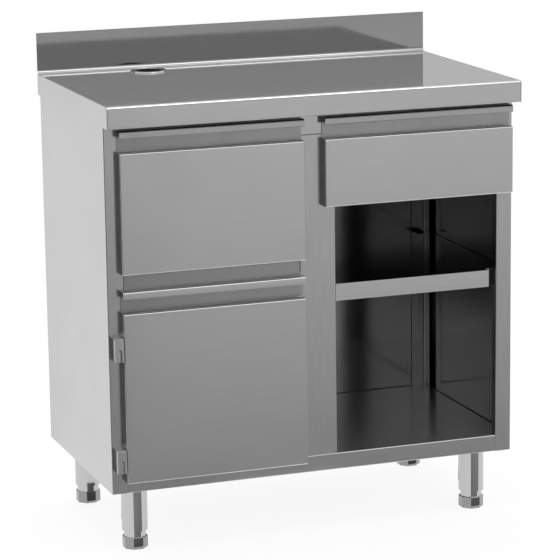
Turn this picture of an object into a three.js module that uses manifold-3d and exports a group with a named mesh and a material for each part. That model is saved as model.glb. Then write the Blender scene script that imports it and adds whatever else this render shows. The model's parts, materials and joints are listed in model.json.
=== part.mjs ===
// A stainless steel waiter service station. A worktop with an upstand covers a folded sheet carcass:
// on the left a deep drawer over a hinged door, on the right a shallow drawer over an open niche
// with one shelf. It stands on four tube legs with levelling feet.
// Millimetres, +Z up, front towards -Y, origin on the floor under the middle of the worktop.

import * as THREE from "three";
import { mergeVertices } from "three/addons/utils/BufferGeometryUtils.js";
import Module from "manifold-3d";

const wasm = await Module();
wasm.setup();

// Overall sizes
const WIDTH = 1000;
const DEPTH = 589;
const HEIGHT = 1050; // floor to the top of the worktop
const UPSTAND = 98; // upstand above the worktop
const LEG_HEIGHT = 152; // floor to the bottom of the carcass

// Sheet gauges and clearances
const TOP_SHEET = 1.5;
const SHEET = 1.2;
const FRONT_SHEET = 1;
const BEND = 2; // outer radius of a folded corner
const FIT = 0.3; // between pieces that are welded, screwed or seated together
const RUN = 0.4; // between pieces that slide or turn in each other

// Worktop
const SKIRT = 50.5; // drop edge, top to bottom
const SKIRT_RETURN = 15;
const NOSE_RADIUS = 6;
const COVE_RADIUS = 10;
const CORE = 18;
const GROMMET_X = -242;
const GROMMET_SETBACK = 66; // its middle from the rear edge
const GROMMET_BORE = 61;
const GROMMET_WALL = 1.5;
const GROMMET_FLANGE = 13; // width of the rim round the bore
const GROMMET_RISE = 6;
const GROMMET_TAIL = 26; // sleeve below the worktop's surface
const GROMMET_CUTOUT = 72; // square sawn out of the core round the sleeve

// Carcass
const SIDE_INSET = 3.3; // side panel behind the worktop's end
const FRONT_SETBACK = 45.8; // face frame behind the worktop's front
const REAR_INSET = 7.1;
const BACK_INSET = 21.4; // back panel ahead of the side panels' rear edge
const POST = 39.3;
const POST_RETURN = 20;
const REAR_FLANGE = 20;
const RAIL_RETURN = 20;
const TOP_RAIL_SHOW = 49.5; // top rail below the worktop's drop edge
const MID_RAIL = 40;
const MID_RAIL_DROP = 5; // mid rail below the deep drawer front
const BASE_RAIL = 39.3;
const LEFT_BAY = 421.9; // clear width between the left post and the divider
const DIVIDER = 88;
const UPRIGHT_DEPTH = 43;
const UPRIGHT_FLANGE = 17.2; // foot of the upright on the back panel
const UPRIGHT_LIP = 13.7;
const UPRIGHT_GAP = 8.8; // lip short of the side panel

// Shelf of the niche
const SHELF_RISE = 404.7; // above the base
const SHELF_EDGE = 39.5;
const SHELF_SETBACK = 1.5; // front edge behind the face frame
const SHELF_STOP = 17.5; // front edge short of the right post
const SHELF_CLEAR = 1.5; // notches round the post and the upright

// Legs and feet
const LEG_INSET = 75; // leg's middle from the worktop's end
const LEG_FRONT = 116.2; // front legs' middle from the worktop's front
const LEG_REAR = 76.3;
const LEG_DIAMETER = 61;
const LEG_WALL = 1.5;
const LEG_FLANGE = 95;
const LEG_FLANGE_PLATE = 3;
const LEG_BUSH = 27; // guide inside the tube's lower end
const LEG_RAIL = 100;
const FOOT_SIDES = 8;
const FOOT_ACROSS = 59.4; // over the corners of the foot
const FOOT_HEIGHT = 29;
const FOOT_CHAMFER = 1.5;
const NECK_DIAMETER = 52;
const NECK_HEIGHT = 14;
const SLEEVE_WALL = 2.5;
const SLEEVE_REACH = 60; // sleeve inside the tube

// Fronts and their pulls
const FRONT_PROUD = 25; // outer face ahead of the face frame
const FRONT_GAP = 0.8; // between the frame and the back of a closed front
const PULL_LIP = 17.3;
const FINGER_GAP = 33.8;
const PULL_NOSE = 5;
const PULL_RETURN = 8;
const PULL_LEDGE = 6; // pull's foot behind the outer face
const LIP_CLEAR = 8.7; // upper pulls below the worktop's drop edge
const LAP_LEFT_POST = 9.2; // left fronts over the left post
const LAP_DIVIDER_LEFT = 6.2; // left fronts over the divider
const LAP_DIVIDER_RIGHT = 31.9; // shallow drawer front over the divider
const LAP_RIGHT_POST = 31.2; // shallow drawer front over the right post
const DEEP_FRONT = 275.2;
const SHALLOW_FRONT = 156.1;
const DOOR_LAP_TOP = 6.2; // door pull over the mid rail
const DOOR_LAP_BASE = 11.2; // door over the base rail

// Drawer trays and runners
const TRAY_LIFT = 9; // tray above the lower edge of its front
const DEEP_TRAY = 225;
const SHALLOW_TRAY = 112;
const TRAY_BACK_GAP = 30; // tray ahead of the back panel
const RUNNER_SPACE = 12.7; // bay face to tray side
const RUNNER_DEPTH = 9.6;
const RUNNER_HEIGHT = 45;
const RUNNER_SHORT = 3.7; // runner's end ahead of the tray's back
const RUNNER_SETBACK = 1; // behind the face frame
const RUNNER_RISE = 25; // above the bottom of the tray

// Hinges and catch of the door
const HINGE_HEIGHT = 54;
const HINGE_BLOCK = 22; // width of the fixed block
const HINGE_UPPER = 81; // upper hinge's middle below the top of the door front
const HINGE_LOWER = 53; // lower hinge's middle above the bottom of the door front
const HINGE_OFFSET = 5.5; // pivot beside the door
const HINGE_DEPTH = 2.1; // pivot behind the door's outer face
const KNUCKLE_RADIUS = 4.4;
const KNUCKLE_SLIT = 0.6;
const PIN_RADIUS = 1.5;
const LEAF_LENGTH = 16;
const CATCH_WIDTH = 35;
const CATCH_HEIGHT = 16;
const CATCH_DEPTH = 18;
const CATCH_INSET = 25; // from the divider

// Smoothness of round pieces
const BEND_STEPS = 4;
const ROUND_STEPS = 32;

// Levels and planes that several pieces share
const end = WIDTH / 2;
const front = -DEPTH / 2;
const rear = DEPTH / 2;
const skirtBottom = HEIGHT - SKIRT;
const coreTop = HEIGHT - TOP_SHEET - FIT;
const coreBottom = coreTop - CORE;
const bodyTop = coreBottom - FIT;
const sideX = end - SIDE_INSET;
const sideInner = sideX - SHEET - FIT;
const frame = front + FRONT_SETBACK;
const bodyRear = rear - REAR_INSET;
const backFace = bodyRear - BACK_INSET;
const bayOuter = sideX - POST;
const dividerLeft = -bayOuter + LEFT_BAY;
const dividerRight = dividerLeft + DIVIDER;
const baseTop = LEG_HEIGHT + BASE_RAIL;
const shelfTop = baseTop + SHELF_RISE;
const uprightRear = backFace - FIT;
const uprightFront = uprightRear - UPRIGHT_DEPTH;
const uprightWeb = sideInner - UPRIGHT_GAP - UPRIGHT_LIP;
const uprightEdge = uprightWeb - UPRIGHT_FLANGE;
const topRailBottom = skirtBottom - TOP_RAIL_SHOW;
const frontPlane = frame - FRONT_PROUD;
const frontBack = frame - FRONT_GAP;
const upperFrontTop = skirtBottom - LIP_CLEAR - PULL_LIP - FINGER_GAP;
const deepBottom = upperFrontTop - DEEP_FRONT;
const shallowBottom = upperFrontTop - SHALLOW_FRONT;
const midTop = deepBottom - MID_RAIL_DROP;
const midBottom = midTop - MID_RAIL;
const doorBottom = baseTop - DOOR_LAP_BASE;
const doorTop = midBottom + DOOR_LAP_TOP - PULL_LIP - FINGER_GAP;
const leftFronts = [-bayOuter - LAP_LEFT_POST, dividerLeft + LAP_DIVIDER_LEFT];
const rightFront = [dividerRight - LAP_DIVIDER_RIGHT, bayOuter + LAP_RIGHT_POST];

// Materials
const finish = (color, roughness, metalness) =>
  new THREE.MeshStandardMaterial({ color, roughness, metalness });
const steel = finish(0xb4b6b7, 0.25, 1);
const polished = finish(0xc4c6c7, 0.15, 1);
const zinc = finish(0x9da2a5, 0.4, 1);
const plastic = finish(0x2c2d2e, 0.5, 0);
const board = finish(0xa98a62, 0.8, 0);

const station = new THREE.Group();

// Adds one piece to the station
function piece(name, geometry, material) {
  const mesh = new THREE.Mesh(geometry, material);
  mesh.name = name;
  station.add(mesh);
}

// A geometry as a solid that can be joined and cut
function toSolid(geometry) {
  const bare = geometry.clone();
  bare.deleteAttribute("normal");
  bare.deleteAttribute("uv");
  const merged = mergeVertices(bare, 1e-4);
  return new wasm.Manifold(
    new wasm.Mesh({
      numProp: 3,
      vertProperties: new Float32Array(merged.attributes.position.array),
      triVerts: new Uint32Array(merged.index.array),
    }),
  );
}

function toGeometry(solid) {
  const mesh = solid.getMesh();
  const geometry = new THREE.BufferGeometry();
  geometry.setAttribute("position", new THREE.BufferAttribute(mesh.vertProperties, 3));
  geometry.setIndex(new THREE.BufferAttribute(mesh.triVerts, 1));
  geometry.computeVertexNormals();
  return geometry;
}

function join(...geometries) {
  const solids = geometries.map(toSolid);
  return toGeometry(solids.reduce((whole, next) => whole.add(next)));
}

function cut(geometry, ...tools) {
  const solids = tools.map(toSolid);
  return toGeometry(solids.reduce((rest, tool) => rest.subtract(tool), toSolid(geometry)));
}

// A box between two corners, given as a range along each axis
function box([x0, x1], [y0, y1], [z0, z1]) {
  const geometry = new THREE.BoxGeometry(x1 - x0, y1 - y0, z1 - z0);
  return geometry.translate((x0 + x1) / 2, (y0 + y1) / 2, (z0 + z1) / 2);
}

// Range either side of zero
const both = (reach) => [-reach, reach];

// Replaces each inner corner of a path by an arc of the radius given for it
function roundCorners(path, radii) {
  const result = [path[0]];
  for (let i = 1; i < path.length - 1; i++) {
    const corner = new THREE.Vector2(...path[i]);
    const toLast = new THREE.Vector2(...path[i - 1]).sub(corner).normalize();
    const toNext = new THREE.Vector2(...path[i + 1]).sub(corner).normalize();
    const centre = corner.clone().addScaledVector(toLast, radii[i - 1]);
    centre.addScaledVector(toNext, radii[i - 1]);
    for (let step = 0; step <= BEND_STEPS; step++) {
      const angle = (step / BEND_STEPS) * (Math.PI / 2);
      const spoke = toNext.clone().multiplyScalar(-Math.cos(angle));
      spoke.addScaledVector(toLast, -Math.sin(angle));
      result.push(centre.clone().addScaledVector(spoke, radii[i - 1]).toArray());
    }
  }
  result.push(path[path.length - 1]);
  return result;
}

// Outline of a sheet whose outer face follows a path. It lies right of the path, or left of it
// where the gauge is negative.
function sheetOutline(path, gauge) {
  const normals = path.slice(1).map(([x, y], i) => {
    const along = new THREE.Vector2(x - path[i][0], y - path[i][1]).normalize();
    return new THREE.Vector2(along.y, -along.x);
  });
  const inner = path.map((point, i) => {
    const last = normals[Math.max(i - 1, 0)];
    const next = normals[Math.min(i, normals.length - 1)];
    const scale = gauge / (1 + last.dot(next));
    return [point[0] + (last.x + next.x) * scale, point[1] + (last.y + next.y) * scale];
  });
  return [...path, ...inner.reverse()];
}

// A folded sheet's outline: path, corner radii and gauge
const folded = (path, radii, gauge) => sheetOutline(roundCorners(path, radii), gauge);

function extrude(outline, length) {
  const shape = new THREE.Shape(outline.map(([x, y]) => new THREE.Vector2(x, y)));
  return new THREE.ExtrudeGeometry(shape, { depth: length, bevelEnabled: false, steps: 1 });
}

// Outline in X and Y, drawn out along Z
function upright(outline, [z0, z1]) {
  return extrude(outline, z1 - z0).translate(0, 0, z0);
}

// Outline in Y and Z, drawn out along X
function crosswise(outline, [x0, x1]) {
  const turn = new THREE.Matrix4().makeBasis(
    new THREE.Vector3(0, 1, 0),
    new THREE.Vector3(0, 0, 1),
    new THREE.Vector3(1, 0, 0),
  );
  return extrude(outline, x1 - x0).applyMatrix4(turn).translate(x0, 0, 0);
}

// Outline in X and Z, drawn out along Y
function lengthwise(outline, [y0, y1]) {
  return extrude(outline, y1 - y0).rotateX(Math.PI / 2).translate(0, y1, 0);
}

// Profile of radius and height, turned round a vertical axis
function turned(profile, steps = ROUND_STEPS) {
  const points = profile.map(([radius, height]) => new THREE.Vector2(radius, height));
  return new THREE.LatheGeometry(points, steps).rotateX(Math.PI / 2);
}

// A turned profile whose ends meet
const ring = (profile) => turned([...profile, profile[0]]);

// A round bar along Z
function bar(radius, [x, y], [z0, z1]) {
  const profile = [[0, z0], [radius, z0], [radius, z1], [0, z1]];
  return turned(profile).translate(x, y, 0);
}

const mirrored = (path, side) => path.map(([x, y]) => [side * x, y]);

function buildWorktop() {
  const grommet = [GROMMET_X, rear - GROMMET_SETBACK];
  const boreRadius = GROMMET_BORE / 2;
  const sleeveRadius = boreRadius + GROMMET_WALL;
  const hole = bar(sleeveRadius + FIT, grommet, [coreTop, HEIGHT + FIT]);

  const path = [
    [front + SKIRT_RETURN, skirtBottom],
    [front, skirtBottom],
    [front, HEIGHT],
    [rear - TOP_SHEET, HEIGHT],
    [rear - TOP_SHEET, HEIGHT + UPSTAND],
  ];
  const outline = folded(path, [BEND, NOSE_RADIUS, COVE_RADIUS], TOP_SHEET);
  const capSpace = end - TOP_SHEET - FIT;
  const behind = [front - FIT, rear + FIT];
  const below = [skirtBottom - FIT, HEIGHT];
  const capSlots = [-1, 1].map((side) => {
    const range = [side * capSpace, side * (end + FIT)].sort((a, b) => a - b);
    return box(range, behind, below);
  });
  piece("worktop_skin", cut(crosswise(outline, both(end)), hole, ...capSlots), polished);

  const cap = roundCorners(
    [[front, skirtBottom], [front, HEIGHT - FIT], [rear, HEIGHT - FIT]],
    [NOSE_RADIUS],
  );
  cap.push([rear, skirtBottom]);
  piece("worktop_edge_left", crosswise(cap, [-end, -end + TOP_SHEET]), polished);
  piece("worktop_edge_right", crosswise(cap, [end - TOP_SHEET, end]), polished);

  const coveOuter = COVE_RADIUS + TOP_SHEET;
  const coveLow = HEIGHT + COVE_RADIUS - Math.sqrt(coveOuter ** 2 - COVE_RADIUS ** 2);
  const rearStrip = [rear - TOP_SHEET, rear];
  piece("worktop_edge_rear", box(both(capSpace), rearStrip, [skirtBottom, coveLow - FIT]), polished);

  const coreDepth = [front + NOSE_RADIUS + FIT, rear - TOP_SHEET - COVE_RADIUS - FIT];
  const core = box(both(capSpace), coreDepth, [coreBottom, coreTop]);
  const sawn = GROMMET_CUTOUT / 2;
  const cutout = box(
    [grommet[0] - sawn, grommet[0] + sawn],
    [grommet[1] - sawn, grommet[1] + sawn],
    [coreBottom - FIT, coreTop + FIT],
  );
  piece("worktop_core", cut(core, cutout), board);

  const flangeRadius = boreRadius + GROMMET_FLANGE;
  const shoulder = GROMMET_RISE / 2;
  const profile = [
    [boreRadius, -GROMMET_TAIL],
    [sleeveRadius, -GROMMET_TAIL],
    [sleeveRadius, FIT],
    [flangeRadius, FIT],
    [flangeRadius, shoulder / 2],
    [flangeRadius - shoulder, GROMMET_RISE - shoulder / 2],
    [flangeRadius - 2 * shoulder, GROMMET_RISE],
    [boreRadius + shoulder, GROMMET_RISE],
    [boreRadius, GROMMET_RISE - shoulder],
  ];
  piece("cable_grommet", ring(profile).translate(...grommet, HEIGHT), polished);
}

function buildCarcass() {
  const full = [LEG_HEIGHT, bodyTop];
  const aboveBase = [baseTop + FIT, bodyTop];

  const sidePath = [
    [sideX - REAR_FLANGE, bodyRear],
    [sideX, bodyRear],
    [sideX, frame],
    [bayOuter, frame],
    [bayOuter, frame + POST_RETURN],
  ];
  const sideOutline = folded(sidePath, [BEND, BEND, BEND], SHEET);

  const lipBack = uprightFront + SHEET;
  const uprightPath = [
    [uprightEdge, uprightRear],
    [uprightWeb, uprightRear],
    [uprightWeb, lipBack],
    [uprightWeb + UPRIGHT_LIP, lipBack],
  ];
  const uprightOutline = folded(uprightPath, [BEND, BEND], SHEET);

  [["left", -1], ["right", 1]].forEach(([name, side]) => {
    piece(`side_panel_${name}`, upright(mirrored(sideOutline, side), full), steel);
    piece(`rear_upright_${name}`, upright(mirrored(uprightOutline, side), aboveBase), steel);
  });

  piece("back_panel", box(both(sideInner), [backFace, backFace + SHEET], full), steel);

  const railSpan = both(bayOuter - FIT);
  const topPath = [
    [frame + RAIL_RETURN, topRailBottom],
    [frame, topRailBottom],
    [frame, bodyTop],
    [frame + RAIL_RETURN, bodyTop],
  ];
  piece("top_rail", crosswise(folded(topPath, [BEND, BEND], SHEET), railSpan), steel);

  const midPath = [
    [frame + RAIL_RETURN, midBottom],
    [frame, midBottom],
    [frame, midTop],
    [frame + RAIL_RETURN, midTop],
  ];
  const midSpan = [-bayOuter + FIT, dividerLeft - FIT];
  piece("mid_rail", crosswise(folded(midPath, [BEND, BEND], SHEET), midSpan), steel);

  const plateFront = frame + POST_RETURN + FIT;
  const basePath = [
    [frame + RAIL_RETURN, LEG_HEIGHT],
    [frame, LEG_HEIGHT],
    [frame, baseTop],
    [plateFront + BEND, baseTop],
  ];
  const baseFront = crosswise(folded(basePath, [BEND, BEND], SHEET), railSpan);
  const plate = box(both(sideInner), [plateFront, backFace - FIT], [baseTop - SHEET, baseTop]);
  piece("base_panel", join(baseFront, plate), steel);

  const dividerPath = [
    [dividerRight, backFace - FIT],
    [dividerRight, frame],
    [dividerLeft, frame],
    [dividerLeft, backFace - FIT],
  ];
  const divider = upright(folded(dividerPath, [BEND, BEND], SHEET), aboveBase);
  const railRoom = box(
    [dividerLeft - FIT, dividerRight + FIT],
    [frame - FIT, frame + RAIL_RETURN + FIT],
    [topRailBottom - FIT, bodyTop + FIT],
  );
  piece("centre_divider", cut(divider, railRoom), steel);
}

// A tray of sheet with its four edges folded down, open below, and its two right corners cut
// out for the post and for the rear upright
function buildShelf() {
  const left = dividerRight + FIT;
  const shelfFront = frame + SHELF_SETBACK;
  const shelfRear = backFace - FIT;
  const stopX = bayOuter - SHELF_STOP;
  const postBack = frame + POST_RETURN + SHELF_CLEAR;
  const uprightSide = uprightEdge - SHELF_CLEAR;
  const uprightLimit = uprightFront - SHELF_CLEAR;
  const tall = [shelfTop - SHELF_EDGE, shelfTop];
  const hollow = [shelfTop - SHELF_EDGE - FIT, shelfTop - SHEET];
  const outlineAt = (inset) => [
    [left + inset, shelfFront + inset],
    [stopX - inset, shelfFront + inset],
    [stopX - inset, postBack + inset],
    [sideInner - inset, postBack + inset],
    [sideInner - inset, uprightLimit - inset],
    [uprightSide - inset, uprightLimit - inset],
    [uprightSide - inset, shelfRear - inset],
    [left + inset, shelfRear - inset],
  ];
  piece("niche_shelf", cut(upright(outlineAt(0), tall), upright(outlineAt(SHEET), hollow)), steel);
}

function buildLegs() {
  const legX = end - LEG_INSET;
  const tubeBottom = FOOT_HEIGHT + NECK_HEIGHT;
  const legTop = LEG_HEIGHT - FIT;
  const legRadius = LEG_DIAMETER / 2;
  const neckRadius = NECK_DIAMETER / 2;
  const bushBore = neckRadius + RUN;
  const bushTop = tubeBottom + LEG_BUSH;

  const railTop = baseTop - SHEET - FIT;
  const railPath = [
    [LEG_RAIL / 2, railTop],
    [LEG_RAIL / 2, LEG_HEIGHT],
    [-LEG_RAIL / 2, LEG_HEIGHT],
    [-LEG_RAIL / 2, railTop],
  ];
  const railOutline = folded(railPath, [BEND, BEND], SHEET);
  const railRun = [frame + RAIL_RETURN + FIT, backFace - FIT];

  const legProfile = [
    [bushBore, tubeBottom],
    [legRadius, tubeBottom],
    [legRadius, legTop - LEG_FLANGE_PLATE],
    [LEG_FLANGE / 2, legTop - LEG_FLANGE_PLATE],
    [LEG_FLANGE / 2, legTop],
    [legRadius - LEG_WALL, legTop],
    [legRadius - LEG_WALL, bushTop],
    [bushBore, bushTop],
  ];

  const corner = FOOT_ACROSS / 2;
  const nutProfile = [
    [0, 0],
    [corner - FOOT_CHAMFER, 0],
    [corner, FOOT_CHAMFER],
    [corner, FOOT_HEIGHT - FOOT_CHAMFER],
    [corner - FOOT_CHAMFER, FOOT_HEIGHT],
    [0, FOOT_HEIGHT],
  ];
  const nut = turned(nutProfile, FOOT_SIDES).rotateZ(Math.PI / FOOT_SIDES);
  const sleeveTop = tubeBottom + SLEEVE_REACH;
  const sleeve = ring([
    [neckRadius - SLEEVE_WALL, FOOT_HEIGHT - FIT],
    [neckRadius, FOOT_HEIGHT - FIT],
    [neckRadius, sleeveTop],
    [neckRadius - SLEEVE_WALL, sleeveTop],
  ]);
  const foot = join(nut, sleeve);

  [["left", -1], ["right", 1]].forEach(([sideName, side]) => {
    const x = side * legX;
    const rail = lengthwise(railOutline, railRun).translate(x, 0, 0);
    piece(`leg_rail_${sideName}`, rail, zinc);
    [["front", front + LEG_FRONT], ["rear", rear - LEG_REAR]].forEach(([rowName, y]) => {
      piece(`leg_${rowName}_${sideName}`, ring(legProfile).translate(x, y, 0), polished);
      piece(`foot_${rowName}_${sideName}`, foot.clone().translate(x, y, 0), polished);
    });
  });
}

// Outer skin, inner skin and folded pull of a drawer front or a door
function buildFront(name, [x0, x1], [z0, z1]) {
  const inX = [x0 + FRONT_SHEET, x1 - FRONT_SHEET];
  const inZ = [z0 + FRONT_SHEET, z1 - FRONT_SHEET];
  const outer = box([x0, x1], [frontPlane, frontBack], [z0, z1]);
  const hollow = box(inX, [frontPlane + FRONT_SHEET, frontBack + FIT], inZ);
  piece(`${name}_front`, cut(outer, hollow), steel);

  const liner = box(
    [inX[0] + FIT, inX[1] - FIT],
    [frontBack - FRONT_SHEET, frontBack],
    [inZ[0] + FIT, inZ[1] - FIT],
  );
  piece(`${name}_liner`, liner, steel);

  const lipBottom = z1 + FINGER_GAP;
  const lipTop = lipBottom + PULL_LIP;
  const path = [
    [frontPlane + PULL_LEDGE, z1 + FIT],
    [frontBack, z1 + FIT],
    [frontBack, lipTop],
    [frontPlane, lipTop],
    [frontPlane, lipBottom],
    [frontPlane + PULL_RETURN, lipBottom],
  ];
  const outline = folded(path, [BEND, BEND, PULL_NOSE, BEND], -FRONT_SHEET);
  piece(`${name}_pull`, crosswise(outline, [x0, x1]), steel);
}

// Tray, fixed runners and slides of a drawer between two faces of its bay
function buildDrawer(name, span, [bay0, bay1], bottom, frontHeight, trayHeight) {
  buildFront(name, span, [bottom, bottom + frontHeight]);

  const trayBottom = bottom + TRAY_LIFT;
  const tall = [trayBottom, trayBottom + trayHeight];
  const trayX = [bay0 + RUNNER_SPACE, bay1 - RUNNER_SPACE];
  const between = [trayX[0] + SHEET + FIT, trayX[1] - SHEET - FIT];
  const trayY = [frontBack + FIT, backFace - TRAY_BACK_GAP];
  const backY = [trayY[1] - SHEET, trayY[1]];
  const bottomY = [trayY[0], backY[0] - FIT];
  piece(`${name}_bottom`, box(between, bottomY, [trayBottom, trayBottom + SHEET]), steel);
  piece(`${name}_side_left`, box([trayX[0], trayX[0] + SHEET], trayY, tall), steel);
  piece(`${name}_side_right`, box([trayX[1] - SHEET, trayX[1]], trayY, tall), steel);
  piece(`${name}_back`, box(between, backY, tall), steel);

  const runnerBottom = trayBottom + RUNNER_RISE;
  const runnerTop = runnerBottom + RUNNER_HEIGHT;
  const runnerY = [frame + RUNNER_SETBACK, trayY[1] - RUNNER_SHORT];
  const runnerPath = [
    [FIT + RUNNER_DEPTH, runnerBottom],
    [FIT, runnerBottom],
    [FIT, runnerTop],
    [FIT + RUNNER_DEPTH, runnerTop],
  ];
  const slideReach = FIT + SHEET + RUN;
  const slideLow = runnerBottom + SHEET + RUN;
  const slideHigh = runnerTop - SHEET - RUN;
  const slidePath = [
    [slideReach, slideLow],
    [RUNNER_SPACE - RUN, slideLow],
    [RUNNER_SPACE - RUN, slideHigh],
    [slideReach, slideHigh],
  ];
  const runnerOutline = folded(runnerPath, [BEND, BEND], SHEET);
  const slideOutline = folded(slidePath, [BEND, BEND], -SHEET);
  [["left", bay0, 1], ["right", bay1, -1]].forEach(([side, face, inwards]) => {
    const runner = lengthwise(mirrored(runnerOutline, inwards), runnerY);
    const slide = lengthwise(mirrored(slideOutline, inwards), runnerY);
    piece(`${name}_runner_${side}`, runner.translate(face, 0, 0), zinc);
    piece(`${name}_slide_${side}`, slide.translate(face, 0, 0), zinc);
  });
}

function buildHinge(name, middle) {
  const pivot = [leftFronts[0] - HINGE_OFFSET, frontPlane + HINGE_DEPTH];
  const blockRight = pivot[0] + KNUCKLE_RADIUS;
  const blockLeft = blockRight - HINGE_BLOCK;
  const slitLeft = pivot[0] - KNUCKLE_RADIUS - KNUCKLE_SLIT;
  const blockY = [frontPlane, frame - FIT];
  const low = middle - HINGE_HEIGHT / 2;
  const high = middle + HINGE_HEIGHT / 2;
  const upper = [middle + FIT, high];
  const lower = [low, middle - FIT];
  const hole = bar(PIN_RADIUS + FIT, pivot, [low - FIT, high + FIT]);

  const block = join(
    box([blockLeft, slitLeft], blockY, [low, high]),
    box([blockLeft, blockRight], blockY, upper),
    bar(KNUCKLE_RADIUS, pivot, upper),
  );
  piece(`hinge_block_${name}`, cut(block, hole), steel);

  const leaf = join(
    bar(KNUCKLE_RADIUS, pivot, lower),
    box([pivot[0], leftFronts[0] - FIT], [pivot[1], pivot[1] + LEAF_LENGTH], lower),
  );
  piece(`hinge_leaf_${name}`, cut(leaf, hole), steel);
  piece(`hinge_pin_${name}`, bar(PIN_RADIUS, pivot, [low, high]), zinc);
}

function buildDoor() {
  buildFront("door", leftFronts, [doorBottom, doorTop]);
  buildHinge("upper", doorTop - HINGE_UPPER);
  buildHinge("lower", doorBottom + HINGE_LOWER);

  const catchRight = dividerLeft - CATCH_INSET;
  const catchTop = midBottom - FIT;
  const magnet = box(
    [catchRight - CATCH_WIDTH, catchRight],
    [frame - FRONT_GAP + RUN, frame - FRONT_GAP + RUN + CATCH_DEPTH],
    [catchTop - CATCH_HEIGHT, catchTop],
  );
  piece("door_catch", magnet, plastic);
}

buildWorktop();
buildCarcass();
buildShelf();
buildLegs();
const leftBay = [-bayOuter, dividerLeft];
const rightBay = [dividerRight, bayOuter];
buildDrawer("deep_drawer", leftFronts, leftBay, deepBottom, DEEP_FRONT, DEEP_TRAY);
buildDrawer("shallow_drawer", rightFront, rightBay, shallowBottom, SHALLOW_FRONT, SHALLOW_TRAY);
buildDoor();

export default station;
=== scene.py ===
"""A stainless steel waiter service station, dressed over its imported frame.

The folded sheet pieces of the frame come back with their edges rolled over as a deburred sheet has them,
the turned pieces are turned again with more steps, and small hardware is added where it is screwed,
riveted or welded on. Metres, +Z up, front towards -Y.
"""

import json
import logging
import math
from dataclasses import dataclass, field
from enum import Enum
from typing import Any, Callable, Iterable

import bmesh
import bpy
from mathutils import Matrix, Vector

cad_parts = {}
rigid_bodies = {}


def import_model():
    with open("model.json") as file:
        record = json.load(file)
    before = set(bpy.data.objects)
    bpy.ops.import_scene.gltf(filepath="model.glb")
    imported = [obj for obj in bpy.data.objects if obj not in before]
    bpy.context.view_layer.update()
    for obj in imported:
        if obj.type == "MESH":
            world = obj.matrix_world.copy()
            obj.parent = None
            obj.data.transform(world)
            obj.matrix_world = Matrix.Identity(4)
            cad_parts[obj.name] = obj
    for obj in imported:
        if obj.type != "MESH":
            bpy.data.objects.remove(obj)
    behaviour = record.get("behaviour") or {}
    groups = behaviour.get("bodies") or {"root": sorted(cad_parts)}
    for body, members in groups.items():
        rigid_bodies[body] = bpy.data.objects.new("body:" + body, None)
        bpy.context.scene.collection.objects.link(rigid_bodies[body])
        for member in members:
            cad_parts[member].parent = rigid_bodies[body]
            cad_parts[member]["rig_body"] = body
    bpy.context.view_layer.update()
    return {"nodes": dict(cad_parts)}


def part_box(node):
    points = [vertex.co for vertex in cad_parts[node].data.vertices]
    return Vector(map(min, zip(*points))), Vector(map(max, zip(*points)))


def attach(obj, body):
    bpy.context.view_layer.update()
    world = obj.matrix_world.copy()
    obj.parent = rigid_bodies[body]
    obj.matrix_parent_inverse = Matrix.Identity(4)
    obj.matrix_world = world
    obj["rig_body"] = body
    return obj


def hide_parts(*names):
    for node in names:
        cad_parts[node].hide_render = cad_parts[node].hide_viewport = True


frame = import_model()

MM = 0.001
METRE = 1000.0  # in millimetres
WELD = 1e-6  # corners nearer than this are one corner, in metres
SHARP = math.radians(32)  # faces that meet at more than this angle have an edge between them
FLAT = math.radians(0.4)  # triangles within this angle are one face
FACING = 0.9  # share of a normal along an axis from which its face looks that way
LEANING = 0.7  # the same for a face that may lean
TURNED = 0.5  # the same for a face that is only turned that way
SLIGHT = 0.3  # the same for a rounded face
SHEET_EDGE = 0.3  # radius of a deburred sheet edge, in millimetres
THIN_EDGE = 0.25  # the same on a thin tray
LEGS: dict[str, tuple[float, float]] = {
    "front_left": (-425.0, -178.3), "front_right": (425.0, -178.3),
    "rear_left": (-425.0, 218.2), "rear_right": (425.0, 218.2),
}
log = logging.getLogger("service_station")

Colour = tuple[float, float, float, float]
Point = tuple[float, float, float]
Pair = tuple[float, float]
Outline = list[Pair]
FaceTest = Callable[[Vector, Vector], bool]
Tree = bpy.types.NodeTree
Node = bpy.types.Node
Socket = bpy.types.NodeSocket
Piece = bpy.types.Object
Shape = bmesh.types.BMesh


def to_linear(hex_colour: str) -> Colour:
    """Turns an sRGB hex colour into a linear one.

    Args:
        hex_colour: a colour such as "#c8c9ca".

    Returns:
        Red, green, blue and alpha, linear.
    """
    shares = [int(hex_colour[i:i + 2], 16) / 255 for i in (1, 3, 5)]
    red, green, blue = [s / 12.92 if s <= 0.04045 else ((s + 0.055) / 1.055) ** 2.4 for s in shares]
    return red, green, blue, 1.0


def fill(tree: Tree, node: Node, sockets: dict[str | int, Any]) -> None:
    """Sets or links the inputs of a node.

    Args:
        tree: the tree that holds the node.
        node: the node.
        sockets: input name or number to a value, or to the output that feeds it.
    """
    for key, value in sockets.items():
        if isinstance(value, Socket):
            tree.links.new(value, node.inputs[key])
        else:
            node.inputs[key].default_value = value


def add_node(tree: Tree, kind: str, sockets: dict[str | int, Any] | None = None, **settings: str) -> Node:
    """Adds a node with its inputs and settings.

    Args:
        tree: the tree that takes the node.
        kind: Blender's type name of the node.
        sockets: input name or number to a value, or to the output that feeds it.
        settings: properties of the node.

    Returns:
        The new node.
    """
    node = tree.nodes.new(kind)
    for key, value in settings.items():
        setattr(node, key, value)
    fill(tree, node, sockets or {})
    return node


def noise(tree: Tree, place: Socket, size_mm: float, **sockets: float) -> Socket:
    """Noise whose spots have a real size.

    Args:
        tree: the tree that takes the node.
        place: the coordinates.
        size_mm: size of a spot.
        sockets: other inputs, such as Detail.

    Returns:
        The noise, about from 0 to 1.
    """
    inputs = {"Vector": place, "Scale": 1 / (size_mm * MM), **sockets}
    return add_node(tree, "ShaderNodeTexNoise", inputs).outputs["Fac"]


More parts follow.
